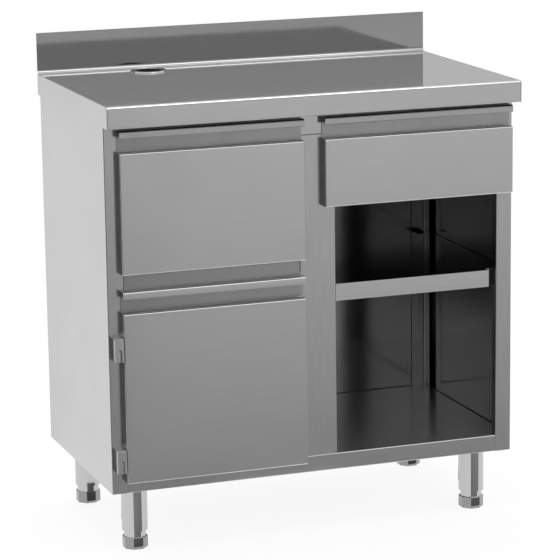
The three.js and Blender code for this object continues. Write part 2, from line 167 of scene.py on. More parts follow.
def tone_between(tree: Tree, share: Socket, dark: Colour, light: Colour) -> Socket:
    """A colour that goes from dark to light as its share rises."""
    return add_node(tree, "ShaderNodeMix", {0: share, 6: dark, 7: light}, data_type="RGBA").outputs[2]


def gloss_between(
    tree: Tree, value: Socket, middle: float, spread: Pair, reach: Pair = (0, 1),
) -> Socket:
    """A roughness that a pattern changes.

    Args:
        tree: the tree that takes the node.
        value: the pattern.
        middle: the roughness to change.
        spread: shares of the roughness at the pattern's low and high end.
        reach: the pattern's values at those ends.

    Returns:
        The roughness.
    """
    low, high = middle * spread[0], middle * spread[1]
    ends = {"From Min": reach[0], "From Max": reach[1], "To Min": low, "To Max": high}
    return add_node(tree, "ShaderNodeMapRange", {"Value": value, **ends}).outputs["Result"]


def relief(tree: Tree, height: Socket, strength: float, depth_mm: float, **sockets: Socket) -> Socket:
    """A normal that follows a pattern of a real depth."""
    inputs = {"Height": height, "Strength": strength, "Distance": depth_mm * MM, **sockets}
    return add_node(tree, "ShaderNodeBump", inputs).outputs["Normal"]


class Slot(Enum):
    """The record's material slots."""

    SATIN = "satin_steel"
    BRIGHT = "polished_steel"
    ZINC = "zinc_plated_steel"
    PLASTIC = "black_plastic"
    BOARD = "core_board"


class Grain(Enum):
    """The axis that a grinding belt ran along."""

    X = 0
    Y = 1
    Z = 2


@dataclass(frozen=True)
class Finish:
    """What every finish has: a name and a slot of the record."""

    name: str
    slot: Slot

    def shade(self, tree: Tree, shader: Node) -> None:
        """Fills the shader's sockets; each finish has its own way."""
        raise NotImplementedError

    def material(self) -> bpy.types.Material:
        """Makes the material, or returns the one that is already made.

        Returns:
            The material of this finish.
        """
        made = bpy.data.materials.get(self.name)
        if made is not None:
            return made
        made = bpy.data.materials.new(self.name)
        made.use_nodes = True
        made.node_tree.nodes.clear()
        shader = add_node(made.node_tree, "ShaderNodeBsdfPrincipled")
        add_node(made.node_tree, "ShaderNodeOutputMaterial", {"Surface": shader.outputs["BSDF"]})
        self.shade(made.node_tree, shader)
        return made


@dataclass(frozen=True)
class GroundStainless(Finish):
    """Stainless sheet ground with a fine belt: hairlines along the belt, faint clouds, slow waves."""

    tint: str = "#cbcbcb"
    roughness: float = 0.2
    metallic: float = 0.95  # the ground scratches scatter a little light
    grain: Grain = Grain.X
    contrast: float = 0.08  # how far the hairlines change the tone
    hairline_mm: float = 3.0  # a real hairline is about 0.1 mm, drawn this coarse so that it shows
    hairline_length_mm: float = 90.0
    hairline_depth_mm: float = 0.02
    hairline_strength: float = 0.25
    hairline_share: float = 0.45  # of the hairlines in the gloss, the rest are clouds
    cloud_mm: float = 120.0  # handling marks and uneven grinding
    wave_mm: float = 260.0  # slow waves of a thin sheet between its folds
    wave_height_mm: float = 0.12
    gloss_spread: Pair = (0.8, 1.25)
    gloss_reach: Pair = (0.3, 0.7)

    def toned(self, share: float) -> Colour:
        """The tint made lighter or darker by a share."""
        red, green, blue = (min(c * share, 1.0) for c in to_linear(self.tint)[:3])
        return red, green, blue, 1.0

    def shade(self, tree: Tree, shader: Node) -> None:
        """Belt ground stainless: a soft mirror whose gloss changes a little with hairlines and clouds.

        Args:
            tree: the material's tree.
            shader: its shader.
        """
        place = add_node(tree, "ShaderNodeTexCoord").outputs["Object"]
        scale = [1 / (self.hairline_mm * MM)] * 3
        scale[self.grain.value] = 1 / (self.hairline_length_mm * MM)
        along = add_node(tree, "ShaderNodeMapping", {"Vector": place, "Scale": scale}).outputs["Vector"]
        hairlines = noise(tree, along, METRE, Detail=3.0, Roughness=0.6)  # the mapping has set its size
        clouds = noise(tree, place, self.cloud_mm, Detail=4.0, Roughness=0.55)
        waves = noise(tree, place, self.wave_mm, Detail=0.0)
        mixed = {"Factor": self.hairline_share, 2: clouds, 3: hairlines}
        both = add_node(tree, "ShaderNodeMix", mixed).outputs[0]
        dark, light = self.toned(1 - self.contrast), self.toned(1 + self.contrast)
        sheet = relief(tree, waves, 1.0, self.wave_height_mm)
        fill(tree, shader, {
            "Base Color": tone_between(tree, hairlines, dark, light),
            "Roughness": gloss_between(tree, both, self.roughness, self.gloss_spread, self.gloss_reach),
            "Normal": relief(tree, hairlines, self.hairline_strength, self.hairline_depth_mm, Normal=sheet),
            "Metallic": self.metallic,
        })


@dataclass(frozen=True)
class ZincPlate(Finish):
    """Steel strip, cold rolled and bright zinc plated: bluish grey with soft cloudy patches."""

    light: str = "#b9bec2"
    dark: str = "#a0a6ab"
    roughness: float = 0.32
    gloss_spread: Pair = (0.75, 1.3)
    patch_mm: float = 14.0

    def shade(self, tree: Tree, shader: Node) -> None:
        """Zinc plate: duller than stainless, its patches change both tone and gloss.

        Args:
            tree: the material's tree.
            shader: its shader.
        """
        place = add_node(tree, "ShaderNodeTexCoord").outputs["Object"]
        patches = noise(tree, place, self.patch_mm, Detail=5.0, Distortion=0.6)
        fill(tree, shader, {
            "Base Color": tone_between(tree, patches, to_linear(self.dark), to_linear(self.light)),
            "Roughness": gloss_between(tree, patches, self.roughness, self.gloss_spread),
            "Metallic": 1.0,
        })


@dataclass(frozen=True)
class MouldedPolyamide(Finish):
    """Polyamide, injection moulded in a spark-eroded tool: near black with a fine even texture."""

    light: str = "#262729"
    dark: str = "#17181a"
    roughness: float = 0.42
    gloss_spread: Pair = (0.85, 1.2)
    texture_mm: float = 1.2  # a real spark texture is about 0.15 mm, drawn coarser so that it shows
    texture_depth_mm: float = 0.05
    texture_strength: float = 0.4
    ior: float = 1.53

    def shade(self, tree: Tree, shader: Node) -> None:
        """Moulded polyamide: a broad soft highlight broken up by the tool's texture.

        Args:
            tree: the material's tree.
            shader: its shader.
        """
        place = add_node(tree, "ShaderNodeTexCoord").outputs["Object"]
        texture = noise(tree, place, self.texture_mm, Detail=2.0)
        fill(tree, shader, {
            "Base Color": tone_between(tree, texture, to_linear(self.dark), to_linear(self.light)),
            "Roughness": gloss_between(tree, texture, self.roughness, self.gloss_spread),
            "Normal": relief(tree, texture, self.texture_strength, self.texture_depth_mm),
            "IOR": self.ior,
        })


@dataclass(frozen=True)
class RawChipboard(Finish):
    """Particleboard, pressed and sawn: flat wood chips of several browns in a matt face."""

    light: str = "#b8925f"
    dark: str = "#7d5c37"
    roughness: float = 0.85
    chip_mm: float = 4.0
    chip_height_mm: float = 0.2
    chip_strength: float = 0.5

    def shade(self, tree: Tree, shader: Node) -> None:
        """Raw chipboard: each chip has its own brown and stands a hair above its glue line.

        Args:
            tree: the material's tree.
            shader: its shader.
        """
        place = add_node(tree, "ShaderNodeTexCoord").outputs["Object"]
        cells = {"Vector": place, "Scale": 1 / (self.chip_mm * MM)}
        chips = add_node(tree, "ShaderNodeTexVoronoi", cells).outputs
        fill(tree, shader, {
            "Base Color": tone_between(tree, chips["Color"], to_linear(self.dark), to_linear(self.light)),
            "Normal": relief(tree, chips["Distance"], self.chip_strength, self.chip_height_mm),
            "Roughness": self.roughness,
        })


def satin(name: str, **changes: Any) -> GroundStainless:
    """Stainless in the satin slot."""
    return GroundStainless("stainless_" + name, Slot.SATIN, **changes)


def bright(name: str, **changes: Any) -> GroundStainless:
    """Stainless in the bright slot."""
    return GroundStainless("stainless_" + name, Slot.BRIGHT, **changes)


# The large outer faces: even grey with hairlines along the belt. The faces along Y, mostly the sides, are
# tinted a little darker than the fronts: painted shade.
FACE_X = satin("belt_ground_along_x")
FACE_Y = satin("belt_ground_along_y", tint="#bfbfbf", grain=Grain.Y)
FACE_Z = satin("belt_ground_along_z", grain=Grain.Z)
# The upper pulls' lips and the noses over all lips: tinted darker than the fronts below them, painted shade
# under what overhangs them, which also dims the noses' highlights.
LIP = satin("lip_painted_shade", tint="#bababa")
NOSE = satin("nose_painted_shade", tint="#a8a8a8")
# Posts and rails: tinted darker than the fronts, painted shade where they stand back behind them; the posts
# with the clearest hairlines.
POST = satin("post_painted_shade", tint="#c4c4c4", grain=Grain.Z, contrast=0.16)
RAIL = satin("rail_painted_shade", tint="#c4c4c4", roughness=0.15)
# Folds and the shelf's front: painted highlights, thin bright lines on the folds and one lighter band on the
# shelf's front before the dark niche.
FOLD = satin("fold_painted_highlight", tint="#f0f0f0", roughness=0.4, metallic=0.52)
SHELF = satin("shelf_belt_ground", tint="#d0d0d0")
# Sheet left as the mill rolled it, tinted for painted light and shade: the niche's inside a clear mirror
# tinted darker as painted shade, the trays light and dull, the niche's base lighter as painted light, the
# tops of ledges and the undersides dark as painted shade, the recesses darker as painted shade.
INSIDE = satin("inside_painted_shade", tint="#a0a0a0", roughness=0.12, grain=Grain.Z, metallic=1.0)
TRAY = satin("tray_mill_rolled", tint="#d0d0d0", roughness=0.32, metallic=0.85)
BASE = satin("base_painted_light", tint="#d4d4d4", roughness=0.22, metallic=0.92)
DARK_SHADE = satin("dark_painted_shade", tint="#8a8a8a", roughness=0.3, metallic=1.0)
RECESS = satin("recess_painted_shade", tint="#b2b2b2", roughness=0.3, metallic=1.0)
# The worktop and its upstand: nearly a mirror, so that each shows the other and the room; the top tinted
# lighter as painted light, the upstand's front and the underside darker as painted shade.
TOP = bright("worktop_painted_light", tint="#dedede", roughness=0.07, metallic=0.8)
UPSTAND = bright("upstand_painted_shade", tint="#9e9e9e", roughness=0.06, metallic=1.0)
UNDER = bright("worktop_under_painted_shade", tint="#8a8a8a", roughness=0.3, metallic=1.0)
# Turned and drawn pieces: polished tubes, whose upright stripes of light and dark are what they reflect, and
# feet tinted darker as painted shade near the floor.
TUBE = bright("tube_polished", tint="#c2c2c2", roughness=0.06, grain=Grain.Z, metallic=1.0)
FOOT = bright("foot_painted_shade", tint="#989898", roughness=0.14, grain=Grain.Z, metallic=1.0)
RIM = bright("drawn_rim", roughness=0.05, metallic=1.0)
# Hardware and what is hidden: bluish dull strip, near black mouldings, black beads and faces of painted
# shade, brown board.
ZINC = ZincPlate("zinc_plated_steel_strip", Slot.ZINC)
PLASTIC = MouldedPolyamide("polyamide_moulded_black", Slot.PLASTIC)
SHADE_BLACK = MouldedPolyamide("black_painted_shade", Slot.PLASTIC)
BOARD = RawChipboard("chipboard_raw_pressed", Slot.BOARD)


def body_of(node: str) -> str:
    """The body that a CAD node rides on."""
    return frame["nodes"][node]["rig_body"]


def applied(piece: Piece) -> bpy.types.Mesh:
    """The shape of a piece after its modifiers, which are then taken off.

    Args:
        piece: the piece.

    Returns:
        The new mesh.
    """
    graph = bpy.context.evaluated_depsgraph_get()
    mesh = bpy.data.meshes.new_from_object(piece.evaluated_get(graph), depsgraph=graph)
    piece.modifiers.clear()
    return mesh


def flatten_faces(piece: Piece) -> None:
    """Lets the large faces of a piece keep their own flat normals.

    Args:
        piece: the piece, whose mesh is exchanged for the new one.
    """
    flatten = piece.modifiers.new("flat faces", "WEIGHTED_NORMAL")
    flatten.keep_sharp = True
    piece.data = applied(piece)


def add_piece(
    name: str, bm: Shape, body: str, finish: Finish, stands_for: Iterable[str] = (), weighted: bool = True,
) -> Piece:
    """Places a piece in the scene, on its body and in its finish.

    Args:
        name: the piece's name.
        bm: its shape in the row frame, which is freed.
        body: the body it moves with.
        finish: its finish.
        stands_for: the CAD nodes it replaces.
        weighted: whether large faces keep their own flat normals.

    Returns:
        The new object.
    """
    for face in bm.faces:
        face.smooth = True
    mesh = bpy.data.meshes.new(name)
    bm.to_mesh(mesh)
    bm.free()
    piece = bpy.data.objects.new(name, mesh)
    bpy.context.scene.collection.objects.link(piece)
    if weighted:
        flatten_faces(piece)
    piece.data.materials.clear()
    piece.data.materials.append(finish.material())
    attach(piece, body)
    nodes = list(stands_for)
    if nodes:
        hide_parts(*nodes)
    log.info("%s: %d faces on %s, %s", name, len(piece.data.polygons), body, finish.name)
    return piece


def sheet_piece(node: str, bm: Shape, finish: Finish) -> Piece:
    """A piece that stands for one CAD node."""
    return add_piece(node + ".sheet", bm, body_of(node), finish, [node])


def node_shape(node: str) -> Shape:
    """Copies a CAD node's mesh, with its triangles joined into whole faces.

    Args:
        node: the node's name.

    Returns:
        A bmesh of its own.
    """
    bm = bmesh.new()
    bm.from_mesh(frame["nodes"][node].data)
    bmesh.ops.remove_doubles(bm, verts=bm.verts[:], dist=WELD)
    bmesh.ops.dissolve_limit(bm, angle_limit=FLAT, verts=bm.verts[:], edges=bm.edges[:])
    return bm


def round_over(
    bm: Shape, edges: list[bmesh.types.BMEdge], radius_mm: float, steps: int, clamped: bool = True,
) -> None:
    """Rounds some edges of a shape.

    Args:
        bm: the shape, changed in place.
        edges: the edges.
        radius_mm: how far the rounding reaches in from an edge.
        steps: segments of the rounding.
        clamped: whether the rounding shrinks where it has no room.
    """
    bmesh.ops.bevel(
        bm, geom=edges, offset=radius_mm * MM, offset_type="OFFSET", segments=steps, profile=0.5,
        affect="EDGES", clamp_overlap=clamped,
    )


def roll_edges(bm: Shape, radius_mm: float = SHEET_EDGE, steps: int = 2) -> None:
    """Rounds all sharp edges of a shape."""
    sharp = [e for e in bm.edges if len(e.link_faces) == 2 and e.calc_face_angle(0.0) > SHARP]
    round_over(bm, sharp, radius_mm, steps)


def softened(node: str, finish: Finish, radius_mm: float = SHEET_EDGE, steps: int = 2) -> Piece:
    """A CAD node with rolled edges, which stands for the node.

    Args:
        node: the node's name.
        finish: the piece's finish.
        radius_mm: radius of the rolled edges.
        steps: segments of the rounding.

    Returns:
        The new piece.
    """
    bm = node_shape(node)
    roll_edges(bm, radius_mm, steps)
    return sheet_piece(node, bm, finish)


def repaint(piece: Piece, finish: Finish, test: FaceTest) -> None:
    """Gives some faces of a piece a second finish.

    Args:
        piece: the piece.
        finish: the finish of the chosen faces.
        test: chooses a face by its middle and its normal.
    """
    piece.data.materials.append(finish.material())
    number = len(piece.data.materials) - 1
    for face in piece.data.polygons:
        if test(face.center, face.normal):
            face.material_index = number


def looks_up(centre: Vector, normal: Vector) -> bool:
    """Whether a face looks up."""
    return normal.z > FACING


def folded_front(node: str, finish: Finish, fold_mm: float = 1.8, fold_steps: int = 5) -> None:
    """A drawer front or door whose outer face runs over rounded folds into its sides.

    Args:
        node: the node's name.
        finish: the piece's finish.
        fold_mm: radius of the folds round the outer face.
        fold_steps: segments of the folds.
    """
    bm = node_shape(node)
    margin = 0.1 * MM
    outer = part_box(node)[0].y + margin
    folds = [e for e in bm.edges if all(v.co.y < outer for v in e.verts)]
    round_over(bm, folds, fold_mm, fold_steps, clamped=False)
    roll_edges(bm)
    piece = sheet_piece(node, bm, finish)
    slant, full = 0.12, 0.99

    def rolled(centre: Vector, normal: Vector) -> bool:
        """Whether a face belongs to the upper or lower fold."""
        return -full < normal.y < -slant and abs(normal.z) > slant

    # Painted highlight on the folds round the outer face, painted shade on the faces that look up.
    repaint(piece, FOLD, rolled)
    repaint(piece, DARK_SHADE, looks_up)


def pull(node: str, finish: Finish, lip_mm: float = 1.2, nose_mm: float = 5.5) -> None:
    """A folded pull: a ground lip under a rolled nose, with painted shade on the nose, in the recess and on
    the ledge.

    Args:
        node: the node's name.
        finish: the lip's finish.
        lip_mm: how far behind the lip's face the recess begins.
        nose_mm: size of the rolled nose.
    """
    piece = softened(node, finish)
    low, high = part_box(node)
    lip, nose, ledge = lip_mm * MM, nose_mm * MM, 4 * nose_mm * MM

    def rolled(centre: Vector) -> bool:
        """Whether a place is on the rolled nose over the lip."""
        return centre.z > high.z - nose and centre.y < low.y + nose

    # Painted shade: a darker nose, recess and ledge.
    repaint(piece, NOSE, lambda centre, normal: rolled(centre) and normal.z > SLIGHT)
    repaint(piece, RECESS, lambda centre, normal: centre.y > low.y + lip and not rolled(centre))
    repaint(piece, DARK_SHADE, lambda centre, normal: normal.z > FACING and centre.z < high.z - ledge)


def quarter_turn(steps: int) -> list[float]:
    """The angles of a quarter turn."""
    return [math.pi / 2 * k / steps for k in range(steps + 1)]


def ring(bm: Shape, centre: Vector, across: Vector, up: Vector, steps: int) -> list[bmesh.types.BMVert]:
    """Adds a ring of corners to a shape.

    Args:
        bm: the shape.
        centre: the ring's middle, in metres.
        across: from the middle to the ring's first corner.
        up: from the middle to the corner a quarter turn on.
        steps: how many corners.

    Returns:
        The corners.
    """
    angles = [2 * math.pi * k / steps for k in range(steps)]
    return [bm.verts.new(centre + across * math.cos(a) + up * math.sin(a)) for a in angles]


def skin(bm: Shape, rows: list[list[bmesh.types.BMVert]]) -> None:
    """Joins rings of corners with faces.

    Args:
        bm: the shape that the corners belong to.
        rows: the rings in order; the last may be a single corner.
    """
    for low, high in zip(rows, rows[1:]):
        for k in range(len(low)):
            n = (k + 1) % len(low)
            far_side = high if len(high) == 1 else (high[n], high[k])
            bm.faces.new((low[k], low[n], *far_side))


def turned(outline: Outline, centre: Pair, steps: int = 96) -> Shape:
    """Turns a closed outline about an upright axis.

    Args:
        outline: radius and height pairs in millimetres, anticlockwise with the radius to the right.
        centre: the axis, X and Y in millimetres.
        steps: segments round the axis.

    Returns:
        The turned shape.
    """
    bm = bmesh.new()
    rows = [
        ring(bm, Vector((*centre, z)) * MM, Vector((r, 0, 0)) * MM, Vector((0, r, 0)) * MM, steps)
        for r, z in outline
    ]
    skin(bm, [*rows, rows[0]])
    bmesh.ops.remove_doubles(bm, verts=bm.verts[:], dist=WELD)
    bmesh.ops.recalc_face_normals(bm, faces=bm.faces[:])
    return bm


def extruded(outline: list[Point], run: Point) -> Shape:
    """Draws a flat outline out into a solid.

    Args:
        outline: its corners in millimetres.
        run: how far it is drawn, in millimetres.

    Returns:
        The solid.
    """
    bm = bmesh.new()
    face = bm.faces.new([bm.verts.new([c * MM for c in corner]) for corner in outline])
    drawn = bmesh.ops.extrude_face_region(bm, geom=[face], use_keep_orig=True)
    moved = [v for v in drawn["geom"] if isinstance(v, bmesh.types.BMVert)]
    bmesh.ops.translate(bm, verts=moved, vec=[c * MM for c in run])
    bmesh.ops.recalc_face_normals(bm, faces=bm.faces)
    return bm


def domed_heads(
    places: Iterable[Vector], out: Vector, radius_mm: float, height_mm: float, steps: int = 20,
) -> Shape:
    """Domed heads of rivets or screws, each sunk a hair into the sheet that it holds.

    Args:
        places: middle of each head on its sheet, in metres.
        out: the way that the heads point.
        radius_mm: radius of a head.
        height_mm: height of a head.
        steps: segments round a head.

    Returns:
        All heads in one shape.
    """
    bm = bmesh.new()
    turn = Vector((0, 0, 1)).rotation_difference(out).to_matrix()
    across, up = turn.col[0] * radius_mm * MM, turn.col[1] * radius_mm * MM
    # Shares of the radius and of the height, from the sunk foot to the tip.
    profile = [(1.0, -0.08), (1.0, 0.25), (0.93, 0.5), (0.78, 0.74), (0.5, 0.93), (0.0, 1.0)]
    for place in places:
        rows = []
        for share, rise in profile:
            middle = place + out * rise * height_mm * MM
            rows.append(ring(bm, middle, across * share, up * share, steps if share else 1))
        skin(bm, rows)
        bm.faces.new(list(reversed(rows[0])))
    return bm


def cut_away(piece: Piece, tool: Shape) -> None:
    """Cuts a shape out of a piece.

    Args:
        piece: the piece, whose mesh is exchanged for the cut one.
        tool: the shape to take away, which is freed.
    """
    mesh = bpy.data.meshes.new("cutter")
    tool.to_mesh(mesh)
    tool.free()
    cutter = bpy.data.objects.new("cutter", mesh)
    bpy.context.scene.collection.objects.link(cutter)
    knife = piece.modifiers.new("cut", "BOOLEAN")
    knife.operation = "DIFFERENCE"
    knife.solver = "EXACT"
    knife.object = cutter
    piece.data = applied(piece)
    piece.data.set_sharp_from_angle(angle=SHARP)
    flatten_faces(piece)
    bpy.data.objects.remove(cutter)


def add_block(bm: Shape, low: Point, high: Point) -> None:
    """Adds a box to a shape.

    Args:
        bm: the shape.
        low: the box's low corner in millimetres.
        high: its high corner.
    """
    size = [(b - a) * MM for a, b in zip(low, high)]
    middle = [(a + b) / 2 * MM for a, b in zip(low, high)]
    bmesh.ops.create_cube(bm, size=1.0, matrix=Matrix.Translation(middle) @ Matrix.Diagonal((*size, 1.0)))


@dataclass
class Worktop:
    """The worktop's skin, its closed ends, its core and the cable grommet, in millimetres."""

    surface: float = 1050.0
    edge_round: float = 0.4
    edge_steps: int = 3
    upstand_foot: float = 2.0  # the upstand's face begins this far above the surface
    grommet_centre: Pair = (-242.0, 228.5)
    bore_radius: float = 30.5
    bore_round: float = 1.2
    rim_radius: float = 43.5
    rim_gap: float = 0.3
    rim_edge: float = 0.4
    rim_rise: float = 3.2
    rim_round: float = 2.4
    round_steps: int = 5
    lining_top: float = 1049.6
    sleeve_bottom: float = 1024.0
    sleeve_wall: float = 1.5
    sheets: list[Piece] = field(default_factory=list)
    core: Piece | None = None
    collar: Piece | None = None

    def build(self) -> None:
        """Makes the softened sheets, the core and the turned grommet."""
        kinds = {
            "worktop_skin": TOP, "worktop_edge_left": FACE_Y, "worktop_edge_right": FACE_Y,
            "worktop_edge_rear": FACE_X,
        }
        for node, finish in kinds.items():
            self.sheets.append(softened(node, finish, self.edge_round, self.edge_steps))
        self.core = softened("worktop_core", BOARD)
        self.collar = self.grommet()

    def on_upstand(self, centre: Vector, normal: Vector) -> bool:
        """Whether a face is the upstand's front."""
        return centre.z > (self.surface + self.upstand_foot) * MM and normal.y < -TURNED

    def on_skirt(self, centre: Vector, normal: Vector) -> bool:
        """Whether a face is the upright front of the worktop's edge."""
        return centre.z < self.surface * MM and normal.y < -FACING

    def in_bore(self, centre: Vector, normal: Vector) -> bool:
        """Whether a face belongs to the lining of the grommet's hole."""
        away = Vector((centre.x - self.grommet_centre[0] * MM, centre.y - self.grommet_centre[1] * MM, 0))
        return centre.z < self.lining_top * MM and normal.dot(away.normalized()) < -SLIGHT

    def below(self, centre: Vector, normal: Vector) -> bool:
        """Whether a face lies under the worktop."""
        return centre.z < self.surface * MM and normal.z < -LEANING

    def grommet(self) -> Piece:
        """Turns the grommet with a flat rim that is rounded at both edges.

        Returns:
            The grommet.
        """
        foot = self.surface + self.rim_gap
        top = self.surface + self.rim_rise
        drop = top - foot - self.rim_edge
        outer: Outline = []
        inner: Outline = []
        for angle in quarter_turn(self.round_steps):
            across, up = math.cos(angle), math.sin(angle)
            outer.append((self.rim_radius - self.rim_round * (1 - across), foot + self.rim_edge + drop * up))
            round_in, round_down = self.bore_round * (1 - up), self.bore_round * (1 - across)
            inner.append((self.bore_radius + round_in, top - round_down))
        outline = [
            (self.bore_radius, self.sleeve_bottom),
            (self.bore_radius + self.sleeve_wall, self.sleeve_bottom),
            (self.bore_radius + self.sleeve_wall, foot),
            (self.rim_radius, foot),
            *outer, *inner,
            (self.bore_radius, self.lining_top),
        ]
        bm = turned(outline, self.grommet_centre)
        return add_piece("cable_grommet.ring", bm, "carcass", RIM, ["cable_grommet"])

    def dress(self) -> None:
        """Paints shade on the upstand's front and on the faces under the worktop and its core, gives the
        skirt the fronts' finish, and the grommet its lining.
        """
        # Painted shade on the upstand's front, under the worktop and under its core.
        repaint(self.sheets[0], UPSTAND, self.on_upstand)
        repaint(self.sheets[0], FACE_X, self.on_skirt)
        for sheet in self.sheets:
            repaint(sheet, UNDER, self.below)
        repaint(self.core, SHADE_BLACK, self.below)
        repaint(self.collar, PLASTIC, self.in_bore)


@dataclass
class Carcass:
    """Side panels, posts, rails, base, divider, back and rear uprights, in metres unless a name says mm."""

    frame_plane: float = -0.2480
    fold_depth: float = 0.006
    fold_slant: Pair = (0.2, 0.97)  # shares of a normal between which a face is on a fold
    shelf_front: float = -0.24
    side_inner: float = 0.4957
    body_low: float = 0.1535
    back_face: float = 0.2664
    rivet_radius_mm: float = 3.3
    rivet_height_mm: float = 1.6
    rivet_count: int = 7
    rivet_margin: float = 0.06
    upright_foot_mm: float = 17.2
    bead_mm: float = 1.8
    bead_gap_mm: float = 0.4
    bead_top_mm: float = 940.0
    base_bead_mm: Pair = (-225.0, 2.0)  # its start, and how far it ends before the upright
    shelf_bead_mm: Pair = (-222.0, 4.0)
    pieces: dict[str, Piece] = field(default_factory=dict)

    def build(self) -> None:
        """Makes the softened sheets, the rivets of the back panel and the black beads of painted shade in
        the joints.
        """
        for side in ("left", "right"):
            self.pieces["side_panel_" + side] = softened("side_panel_" + side, FACE_Y)
            # The rear uprights take the inside's darker tint: painted shade.
            self.pieces["rear_upright_" + side] = softened("rear_upright_" + side, INSIDE)
        for node in ("top_rail", "mid_rail", "base_panel", "centre_divider", "niche_shelf"):
            self.pieces[node] = softened(node, FACE_X)
        self.pieces["back_panel"] = softened("back_panel", FACE_Z)
        self.rivets()
        self.joints()

    def joints(self) -> None:
        """Thin black beads where the niche's base, shelf and right wall meet: painted shade in the joints.
        """
        w = self.bead_mm
        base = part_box("base_panel")[1] / MM
        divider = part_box("centre_divider")[1] / MM
        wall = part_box("niche_shelf")[1] / MM
        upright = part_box("rear_upright_right")[0] / MM
        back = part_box("back_panel")[0] / MM
        bm = bmesh.new()
        add_block(bm, (divider.x, base.y - w, base.z), (upright.x - w, base.y, base.z + w / 2))
        for level, (start, short) in ((base.z, self.base_bead_mm), (wall.z, self.shelf_bead_mm)):
            add_block(bm, (wall.x - w, start, level), (wall.x, upright.y - short, level + w / 2))
        top = (upright.x, back.y - self.bead_gap_mm, self.bead_top_mm)
        add_block(bm, (upright.x - w / 2, back.y - w, base.z), top)
        add_piece("niche.joints", bm, "carcass", SHADE_BLACK, weighted=False)

    def rivets(self) -> None:
        """Blind rivets that hold the back panel to the uprights and to the divider."""
        low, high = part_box("back_panel")
        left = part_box("rear_upright_left")
        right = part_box("rear_upright_right")
        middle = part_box("centre_divider")
        foot = self.upright_foot_mm / 2 * MM
        lines = [left[1].x - foot, (middle[0].x + middle[1].x) / 2, right[0].x + foot]
        step = (high.z - low.z - 2 * self.rivet_margin) / (self.rivet_count - 1)
        levels = [low.z + self.rivet_margin + k * step for k in range(self.rivet_count)]
        places = [Vector((x, high.y, z)) for x in lines for z in levels]
        bm = domed_heads(places, Vector((0, 1, 0)), self.rivet_radius_mm, self.rivet_height_mm)
        add_piece("back_panel.rivets", bm, "carcass", FACE_Z, weighted=False)

    def inside(self, centre: Vector, normal: Vector) -> bool:
        """Whether a face looks into the carcass, where its darker tint is painted shade."""
        sunk = centre.y > self.frame_plane and abs(centre.x) < self.side_inner
        return sunk and centre.z > self.body_low and centre.y < self.back_face

    def in_front(self, centre: Vector, normal: Vector) -> bool:
        """Whether a face lies in the plane of the posts and rails."""
        return centre.y < self.frame_plane and normal.y < -LEANING

    def on_fold(self, centre: Vector, normal: Vector) -> bool:
        """Whether a face lies on the fold along a front edge."""
        slant, full = self.fold_slant
        slanted = -full < normal.y < -slant and abs(normal.z) > slant
        return slanted and centre.y < self.frame_plane + self.fold_depth

    def on_shelf_front(self, centre: Vector, normal: Vector) -> bool:
        """Whether a face is the upright front of the shelf."""
        return normal.y < -FACING and centre.y < self.shelf_front

    def dress(self) -> None:
        """Paints shade on the faces inside, the posts, the rails and the mid rail, and light on the shelf's
        front, the niche's base, the shelf's right end and the folds.
        """
        for piece in self.pieces.values():
            repaint(piece, INSIDE, self.inside)
        for name in ("side_panel_left", "side_panel_right", "centre_divider"):
            repaint(self.pieces[name], POST, self.in_front)
        for name in ("top_rail", "base_panel"):
            repaint(self.pieces[name], RAIL, self.in_front)
        repaint(self.pieces["mid_rail"], RECESS, self.in_front)
        repaint(self.pieces["niche_shelf"], SHELF, self.on_shelf_front)
        repaint(self.pieces["base_panel"], BASE, looks_up)
        # Painted light on the shelf's right end, which brightens its reflection in the wall.
        repaint(self.pieces["niche_shelf"], FOLD, lambda centre, normal: normal.x > FACING)
        for name in ("base_panel", "niche_shelf"):
            repaint(self.pieces[name], FOLD, self.on_fold)


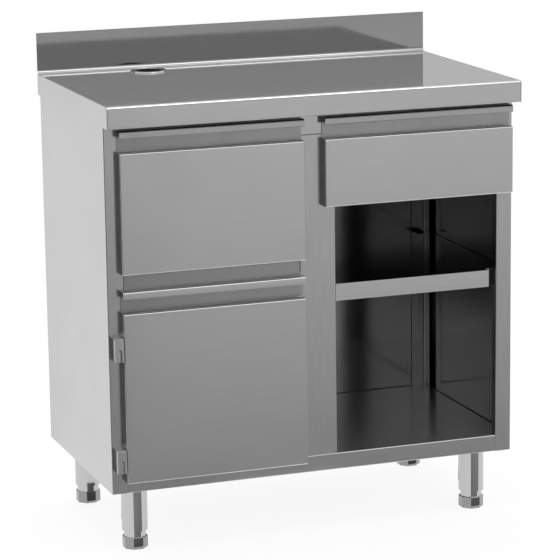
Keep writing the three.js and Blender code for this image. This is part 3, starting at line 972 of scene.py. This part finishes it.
@dataclass
class Leg:
    """One tube leg with its flange, the flange's screws and the levelling foot, in millimetres."""

    place: str
    centre: Pair
    tube_radius: float = 30.5
    tube_wall: float = 1.5
    tube_bottom: float = 43.0
    tube_top: float = 151.7
    end_round: Pair = (0.8, 0.25)  # the rounding's reach and its middle
    weld: tuple[float, float, float] = (2.5, 1.2, 0.35)  # the fillet under the flange, from ends to middle
    flange_radius: float = 47.5
    flange_plate: float = 3.0
    flange_edge: float = 0.5
    chamfer: float = 0.4
    bush_top: float = 70.0
    bush_radius: float = 26.4
    screw_circle: float = 39.0
    screw_count: int = 4
    screw_radius: float = 4.6
    screw_height: float = 3.2
    foot_round: float = 0.7
    foot_steps: int = 3
    foot_top: float = 29.2  # the polished neck begins here

    def build(self) -> None:
        """Makes the tube, the screws and the foot."""
        self.tube()
        self.screws()
        self.foot()

    def tube(self) -> None:
        """Turns the tube with its welded flange."""
        r, low, high = self.tube_radius, self.tube_bottom, self.tube_top
        under = high - self.flange_plate
        inner = r - self.tube_wall
        reach, middle = self.end_round
        weld, outward, inward = self.weld
        rim, edge, cut = self.flange_radius, self.flange_edge, self.chamfer
        outline = [
            (self.bush_radius, low + cut), (self.bush_radius + cut, low), (r - reach, low),
            (r - middle, low + middle), (r, low + reach),
            (r, under - weld), (r + inward, under - outward),
            (r + outward, under - inward), (r + weld, under),
            (rim - edge, under), (rim, under + edge), (rim, high - cut), (rim - cut, high),
            (inner, high), (inner, self.bush_top), (self.bush_radius, self.bush_top),
        ]
        node = "leg_" + self.place
        add_piece(node + ".tube", turned(outline, self.centre), "carcass", TUBE, [node])

    def screws(self) -> None:
        """Pan head screws that hold the flange to its rail."""
        under = self.tube_top - self.flange_plate
        places = []
        for k in range(self.screw_count):
            angle = math.pi / self.screw_count * (1 + 2 * k)
            x = self.centre[0] + self.screw_circle * math.cos(angle)
            y = self.centre[1] + self.screw_circle * math.sin(angle)
            places.append(Vector((x * MM, y * MM, under * MM)))
        bm = domed_heads(places, Vector((0, 0, -1)), self.screw_radius, self.screw_height)
        add_piece(f"leg_{self.place}.screws", bm, "carcass", ZINC, weighted=False)

    def foot(self) -> None:
        """Softens the eight-sided foot, tinted darker as painted shade near the floor, whose neck is
        polished like the tube.
        """
        piece = softened("foot_" + self.place, FOOT, self.foot_round, self.foot_steps)
        repaint(piece, TUBE, lambda centre, normal: centre.z > self.foot_top * MM)


@dataclass
class LegRails:
    """The two strips under the base that carry the legs."""

    nodes: tuple[str, str] = ("leg_rail_left", "leg_rail_right")

    def build(self) -> None:
        """Makes the softened strips."""
        for node in self.nodes:
            softened(node, ZINC)


@dataclass
class Drawer:
    """One drawer: a double-skinned front with its pull, a sheet tray and a pair of runners."""

    name: str
    hem_radius_mm: float = 1.7
    hem_inset_mm: float = 1.0
    hem_steps: int = 12

    def build(self) -> None:
        """Makes the front, the tray with its hems, and the runners."""
        folded_front(self.name + "_front", FACE_X)
        pull(self.name + "_pull", LIP)
        for part in ("liner", "side_left", "side_right", "back"):
            softened(f"{self.name}_{part}", TRAY, THIN_EDGE)
        bottom = softened(self.name + "_bottom", TRAY, THIN_EDGE)
        # Painted shade on the tray's underside.
        repaint(bottom, DARK_SHADE, lambda centre, normal: normal.z < -TURNED)
        for kind in ("runner", "slide"):
            for side in ("left", "right"):
                softened(f"{self.name}_{kind}_{side}", ZINC, THIN_EDGE)
        self.hems()

    def hems(self) -> None:
        """Rolled hems along the tray's upper edges."""
        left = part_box(self.name + "_side_left")
        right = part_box(self.name + "_side_right")
        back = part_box(self.name + "_back")
        x_left = (left[0].x + left[1].x) / 2
        x_right = (right[0].x + right[1].x) / 2
        y_back = (back[0].y + back[1].y) / 2
        radius, inset = self.hem_radius_mm * MM, self.hem_inset_mm * MM
        route = [
            (x_left, left[0].y + inset, Vector((1, 0, 0))), (x_left, y_back, Vector((1, -1, 0))),
            (x_right, y_back, Vector((-1, -1, 0))), (x_right, right[0].y + inset, Vector((-1, 0, 0))),
        ]
        bm = bmesh.new()
        rows = []
        for x, y, across in route:
            middle = Vector((x, y, left[1].z))
            rows.append(ring(bm, middle, across * radius, Vector((0, 0, radius)), self.hem_steps))
        skin(bm, rows)
        bm.faces.new(rows[0])
        bm.faces.new(rows[-1])
        bmesh.ops.recalc_face_normals(bm, faces=bm.faces[:])
        add_piece(self.name + "_tray.hem", bm, self.name, FACE_Y)


@dataclass
class Door:
    """The hinged door with its pull, hinges and catch, in millimetres."""

    levels: tuple[str, str] = ("upper", "lower")
    knuckle: float = 4.4
    knuckle_gap: float = 0.6
    knuckle_play: float = 0.3
    hole_radius: float = 1.9
    hole_depth: float = 9.0
    hole_place: Pair = (-0.9, 1.0)  # from the slit's edge and the block's middle
    hole_steps: int = 24
    corner_round: float = 2.5
    corner_reach: float = 1.0  # edges nearer to the outer corner than this are rounded
    slit_round: float = 3.2
    round_steps: int = 6
    block_edge: float = 0.5
    catch_edge: float = 0.8
    fine_steps: int = 3

    def build(self) -> None:
        """Makes the softened sheets, the hinges and the catch."""
        folded_front("door_front", FACE_X)
        pull("door_pull", FACE_X)
        # The liner takes the inside's darker tint: painted shade.
        softened("door_liner", INSIDE, THIN_EDGE)
        for level in self.levels:
            self.hinge_block(level)
            self.hinge_leaf(level)
            softened("hinge_pin_" + level, ZINC)
        softened("door_catch", PLASTIC, self.catch_edge, self.fine_steps)

    def hinge_block(self, level: str) -> None:
        """The fixed block with a flat face and a small hole at the end of the slit.

        Args:
            level: upper or lower.
        """
        node = "hinge_block_" + level
        low, high = (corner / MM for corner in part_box(node))
        middle = (low.z + high.z) / 2
        slit = high.x - 2 * self.knuckle - self.knuckle_gap
        step = middle + self.knuckle_play
        outline = [
            (low.x, low.z), (slit, low.z), (slit, step), (high.x, step), (high.x, high.z), (low.x, high.z),
        ]
        solid = extruded([(x, low.y, z) for x, z in outline], (0, high.y - low.y, 0))
        right, front = (high.x - self.corner_reach) * MM, (low.y + self.corner_reach) * MM
        corner = [e for e in solid.edges if all(v.co.x > right and v.co.y < front for v in e.verts)]
        round_over(solid, corner, self.corner_round, self.round_steps)
        roll_edges(solid, self.block_edge, self.fine_steps)
        piece = sheet_piece(node, solid, FACE_Z)
        place = Vector((slit + self.hole_place[0], low.y, middle + self.hole_place[1])) * MM
        radius = self.hole_radius * MM
        hole = bmesh.new()
        bmesh.ops.create_cone(
            hole, cap_ends=True, segments=self.hole_steps, radius1=radius, radius2=radius,
            depth=2 * self.hole_depth * MM,
            matrix=Matrix.Translation(place) @ Matrix.Rotation(math.pi / 2, 4, "X"),
        )
        cut_away(piece, hole)

    def hinge_leaf(self, level: str) -> None:
        """The leaf on the door, whose knuckle has a flat face that turns clear of the block.

        Args:
            level: upper or lower.
        """
        node = "hinge_leaf_" + level
        low, high = (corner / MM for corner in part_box(node))
        r, flat, turn = self.knuckle, self.corner_round, self.slit_round
        x, y = low.x + r, low.y + r
        arc = [(math.cos(a), math.sin(a)) for a in quarter_turn(self.round_steps)]
        outline = [(x + turn - r - turn * c, y + turn - r - turn * s) for c, s in arc]
        outline += [(x + r - flat + flat * s, y + flat - r - flat * c) for c, s in arc]
        outline += [(x + r, y), (high.x, y), (high.x, high.y), (x, high.y)]
        outline += [(x - r * s, y + r * c) for c, s in arc]
        bm = extruded([(*corner, low.z) for corner in outline], (0, 0, high.z - low.z))
        roll_edges(bm)
        sheet_piece(node, bm, FACE_Z)


@dataclass(frozen=True)
class Fade:
    """A grey card's tone: one linear grey up to a place, another from a second place on, in metres."""

    start: Point
    end: Point
    before: float
    after: float


@dataclass
class Studio:
    """Floor, light and camera, none of them part of the object, in metres and degrees."""

    floor_size: float = 60.0
    white: str = "#ffffff"
    floor_roughness: float = 0.9
    floor_glow: float = 0.9  # share of plain white in the floor as the camera and the steel see it
    mat_height: float = 0.004
    mat_near: float = -0.65
    mat_behind: float = 0.6
    mat_beside: float = 1.3
    mat_gap: float = 0.01
    # Where the two front mats meet, from far to near.
    mat_seam: tuple[Pair, ...] = ((1.36, -9.0), (-0.12, -1.6), (-0.2, -1.24), (-0.412, -0.65))
    rear_mat_left: Pair = (-0.56, -2.4)  # its left side at the object and far behind
    wall_away: float = 9.0
    wall_step: float = 1.5
    wall_top: float = 4.4
    ceiling_size: Point = (3.5, 3.2, 5.5)  # its half sides and its height
    # The right front mat and the leg cards are darker near the object: painted shade of the floor, which
    # only the reflections see.
    right_fade: Fade = Fade((0, -0.3, 0), (0, -9.0, 0), 0.26, 0.8)
    left_fade: Fade = Fade((-0.412, -0.65, 0), (-0.4702, -0.6644, 0), 0.30, 0.05)
    low_wall_fade: Fade = Fade((-2.0, 0, 0), (1.0, 0, 0), 0.14, 0.56)
    left_wall_fade: Fade = Fade((0, 0, 2.85), (0, 0, 3.2), 0.15, 0.95)
    right_wall_fade: Fade = Fade((0, 0, 2.0), (0, 0, 3.0), 0.32, 0.34)
    rear_wall_fade: Fade = Fade((0, 0, 0), (0, 0, 4.4), 0.42, 0.42)
    rear_fade: Fade = Fade((0, 0.8, 0), (0, 4.5, 0), 0.4, 0.85)
    beside_fade: Fade = Fade((1.5, 0, 0), (6.0, 0, 0), 0.4, 0.85)
    ceiling_fade: Fade = Fade((0, -0.6, 0), (0, 0.4, 0), 0.95, 0.45)
    leg_fade: Fade = Fade((0, 0, 0), (0, -1.0, 0), 0.31, 0.31)
    # The left and the right side of a leg's card, each as its turn at the tube and its turn further out.
    leg_card_sides: tuple[Pair, ...] = ((-21.85, -24.0), (15.15, 50.0))
    leg_card_reach: Pair = (0.52, 0.16)  # of the front legs and of the rear legs
    leg_card_height: Pair = (0.006, 0.005)
    leg_card_steps: int = 4
    leg_radius: float = 0.0305
    lit_middle: Point = (0.0, 0.0, 0.7)
    azimuth: float = -19.704
    elevation: float = 12.279
    roll: float = -0.769
    focal_px: float = 2707.92
    picture_px: float = 560.0
    sensor_mm: float = 36.0
    clip_end: float = 200.0
    position: Point = (-2.1305, -5.9622, 1.9389)

    def build(self) -> None:
        """Sets the stage."""
        bpy.context.scene.view_settings.view_transform = "Standard"
        self.floor()
        self.cards()
        self.light()
        self.camera()

    def plate(self, name: str, corners: list[Point]) -> Piece:
        """A flat stage plate.

        Args:
            name: its name.
            corners: its corners.

        Returns:
            The plate.
        """
        mesh = bpy.data.meshes.new(name)
        mesh.from_pydata(corners, [], [list(range(len(corners)))])
        plate = bpy.data.objects.new(name, mesh)
        bpy.context.scene.collection.objects.link(plate)
        return plate

    def floor(self) -> None:
        """A plain white paper floor that keeps a pale shadow."""
        half = self.floor_size / 2
        plate = self.plate("floor", [(x, y, 0) for x, y in self.square(-half, half, -half, half)])
        paper = bpy.data.materials.new("studio_paper")
        paper.use_nodes = True
        tree = paper.node_tree
        shader = tree.nodes["Principled BSDF"]
        matt = {"Roughness": self.floor_roughness, "Specular IOR Level": 0.0}
        fill(tree, shader, {"Base Color": to_linear(self.white), **matt})
        rays = add_node(tree, "ShaderNodeLightPath").outputs
        seen = rays["Is Camera Ray"]
        for kind in ("Is Glossy Ray", "Is Transmission Ray"):
            seen = add_node(tree, "ShaderNodeMath", {0: seen, 1: rays[kind]}, operation="MAXIMUM").outputs[0]
        glow = {0: seen, 1: self.floor_glow}
        share = add_node(tree, "ShaderNodeMath", glow, operation="MULTIPLY").outputs[0]
        white = add_node(tree, "ShaderNodeEmission", {"Color": to_linear(self.white), "Strength": 1.0})
        mixed = {0: share, 1: shader.outputs["BSDF"], 2: white.outputs[0]}
        both = add_node(tree, "ShaderNodeMixShader", mixed)
        fill(tree, tree.nodes["Material Output"], {"Surface": both.outputs[0]})
        plate.data.materials.append(paper)

    def square(self, left: float, right: float, low: float, high: float) -> Outline:
        """The corners of an upright or level rectangle."""
        return [(left, low), (right, low), (right, high), (left, high)]

    def wall(self, left: float, right: float, y: float, low: float, high: float) -> list[Point]:
        """The corners of an upright wall."""
        return [(x, y, z) for x, z in self.square(left, right, low, high)]

    def cards(self) -> None:
        """Grey cards round the object, which only its reflections see."""
        away, step, top, low = self.wall_away, self.wall_step, self.wall_top, self.mat_height
        near, behind = self.mat_near, self.mat_behind
        at_object, far_behind = self.rear_mat_left
        seam = [(x, y, low) for x, y in self.mat_seam]
        right = [seam[0], (away, -away, low), (away, near, low), *reversed(seam[1:])]
        left = [(-away, -away, low), *seam, (-away, near, low)]
        rear = [(at_object, behind, low), (away, behind, low), (away, away, low), (far_behind, away, low)]
        beside = [(x, y, low) for x, y in self.square(self.mat_beside, away, -behind, behind - self.mat_gap)]
        side, depth, height = self.ceiling_size
        ceiling = [(x, y, height) for x, y in self.square(-side, side, -depth, depth)]
        self.card("front_mat_right", right, self.right_fade)
        self.card("front_mat_left", left, self.left_fade)
        self.card("front_wall_low", self.wall(-away, away, -away, 0, step), self.low_wall_fade)
        self.card("front_wall_left", self.wall(-away, 0, -away, step, top), self.left_wall_fade)
        self.card("front_wall_right", self.wall(0, away, -away, step, top), self.right_wall_fade)
        self.card("rear_wall", self.wall(-away, away, away, 0, top), self.rear_wall_fade)
        self.card("rear_mat", rear, self.rear_fade)
        self.card("right_mat", beside, self.beside_fade)
        self.card("ceiling", ceiling, self.ceiling_fade)
        for place, centre in LEGS.items():
            self.leg_card(place, centre)

    def leg_card(self, place: str, centre: Pair) -> None:
        """A dark wedge on the floor before a leg, painted shade of the floor that draws the dark stripe down
        its tube.

        Args:
            place: the leg's name.
            centre: the leg's axis in millimetres.
        """
        row = 0 if place.startswith("front") else 1
        axis = Vector((centre[0] * MM, centre[1] * MM, self.leg_card_height[row]))
        (first, left), (last, right) = self.leg_card_sides
        corners = [axis + self.aim(turn) * self.leg_radius for turn in (last, first)]
        for k in range(self.leg_card_steps + 1):
            share = k / self.leg_card_steps
            tube = self.aim(first + (last - first) * share) * self.leg_radius
            corners.append(axis + tube + self.aim(left + (right - left) * share) * self.leg_card_reach[row])
        self.card("leg_card_" + place, [tuple(corner) for corner in corners], self.leg_fade)

    def aim(self, turn: float) -> Vector:
        """The level direction at a turn in degrees from the front towards the right."""
        return Vector((math.sin(math.radians(turn)), -math.cos(math.radians(turn)), 0))

    def card(self, name: str, corners: list[Point], fade: Fade) -> None:
        """Sets up a matt grey card.

        Args:
            name: the card's name.
            corners: its corners.
            fade: its tone.
        """
        card = self.plate(name, corners)
        grey = bpy.data.materials.new(name + "_grey")
        grey.use_nodes = True
        tree = grey.node_tree
        run = Vector(fade.end) - Vector(fade.start)
        slope = run / run.length_squared
        begin = Vector(fade.start).dot(slope)
        place = add_node(tree, "ShaderNodeTexCoord").outputs["Object"]
        along = add_node(tree, "ShaderNodeVectorMath", {0: place, 1: slope}, operation="DOT_PRODUCT")
        tone = add_node(tree, "ShaderNodeMapRange", {
            "Value": along.outputs["Value"], "From Min": begin, "From Max": begin + 1.0,
            "To Min": fade.before, "To Max": fade.after,
        })
        matt = {"Base Color": tone.outputs["Result"], "Roughness": 1.0, "Specular IOR Level": 0.0}
        fill(tree, tree.nodes["Principled BSDF"], matt)
        card.data.materials.append(grey)
        card.visible_camera = False
        card.visible_diffuse = False
        card.visible_shadow = False

    def light(self) -> None:
        """A white room that the steel reflects, with a soft box behind overhead and one in front."""
        world = bpy.data.worlds.new("white_room")
        bpy.context.scene.world = world
        world.use_nodes = True
        tree = world.node_tree
        tree.nodes.clear()
        room = add_node(tree, "ShaderNodeBackground", {"Color": to_linear(self.white), "Strength": 1.0})
        add_node(tree, "ShaderNodeOutputWorld", {"Surface": room.outputs[0]})
        self.soft_box("soft_box_behind", (-0.4, 1.3, 4.0), (3.0, 1.8), radiance=2.2, mirrored=False)
        self.soft_box("soft_box_front", (1.2, -2.4, 5.0), (2.4, 1.5), radiance=3.0, mirrored=True)

    def soft_box(
        self, name: str, place: Point, size: Pair, radiance: float, mirrored: bool,
    ) -> None:
        """A soft box that looks at the middle of the object.

        Args:
            name: its name.
            place: its middle.
            size: its width and height.
            radiance: how bright its face is, where 1 is the white of the room.
            mirrored: whether the steel reflects it.
        """
        box = bpy.data.lights.new(name, "AREA")
        box.shape = "RECTANGLE"
        box.size, box.size_y = size
        box.energy = radiance * math.pi * size[0] * size[1]
        lamp = bpy.data.objects.new(name, box)
        aim = (Vector(self.lit_middle) - Vector(place)).to_track_quat("-Z", "Y")
        lamp.matrix_world = Matrix.Translation(place) @ aim.to_matrix().to_4x4()
        lamp.visible_camera = False
        lamp.visible_glossy = mirrored
        bpy.context.scene.collection.objects.link(lamp)

    def camera(self) -> None:
        """The camera at the photograph's place."""
        a, e, r = (math.radians(v) for v in (self.azimuth, self.elevation, self.roll))
        back = Vector((math.sin(a) * math.cos(e), -math.cos(a) * math.cos(e), math.sin(e)))
        level = Vector((math.cos(a), math.sin(a), 0))
        upright = back.cross(level)
        right = level * math.cos(r) + upright * math.sin(r)
        up = upright * math.cos(r) - level * math.sin(r)
        data = bpy.data.cameras.new("camera")
        data.sensor_fit = "HORIZONTAL"
        data.sensor_width = self.sensor_mm
        data.lens = self.focal_px * self.sensor_mm / self.picture_px
        data.clip_end = self.clip_end
        camera = bpy.data.objects.new("camera", data)
        turn = Matrix((right, up, back)).transposed().to_4x4()
        camera.matrix_world = Matrix.Translation(self.position) @ turn
        bpy.context.scene.collection.objects.link(camera)
        bpy.context.scene.camera = camera


def main() -> None:
    """Builds the station piece by piece and sets the stage."""
    logging.basicConfig(level=logging.INFO, format="%(name)s: %(message)s")
    Studio().build()
    worktop = Worktop()
    worktop.build()
    worktop.dress()
    carcass = Carcass()
    carcass.build()
    carcass.dress()
    LegRails().build()
    for place, centre in LEGS.items():
        Leg(place, centre).build()
    for name in ("deep_drawer", "shallow_drawer"):
        Drawer(name).build()
    Door().build()


if __name__ == "__main__":
    main()
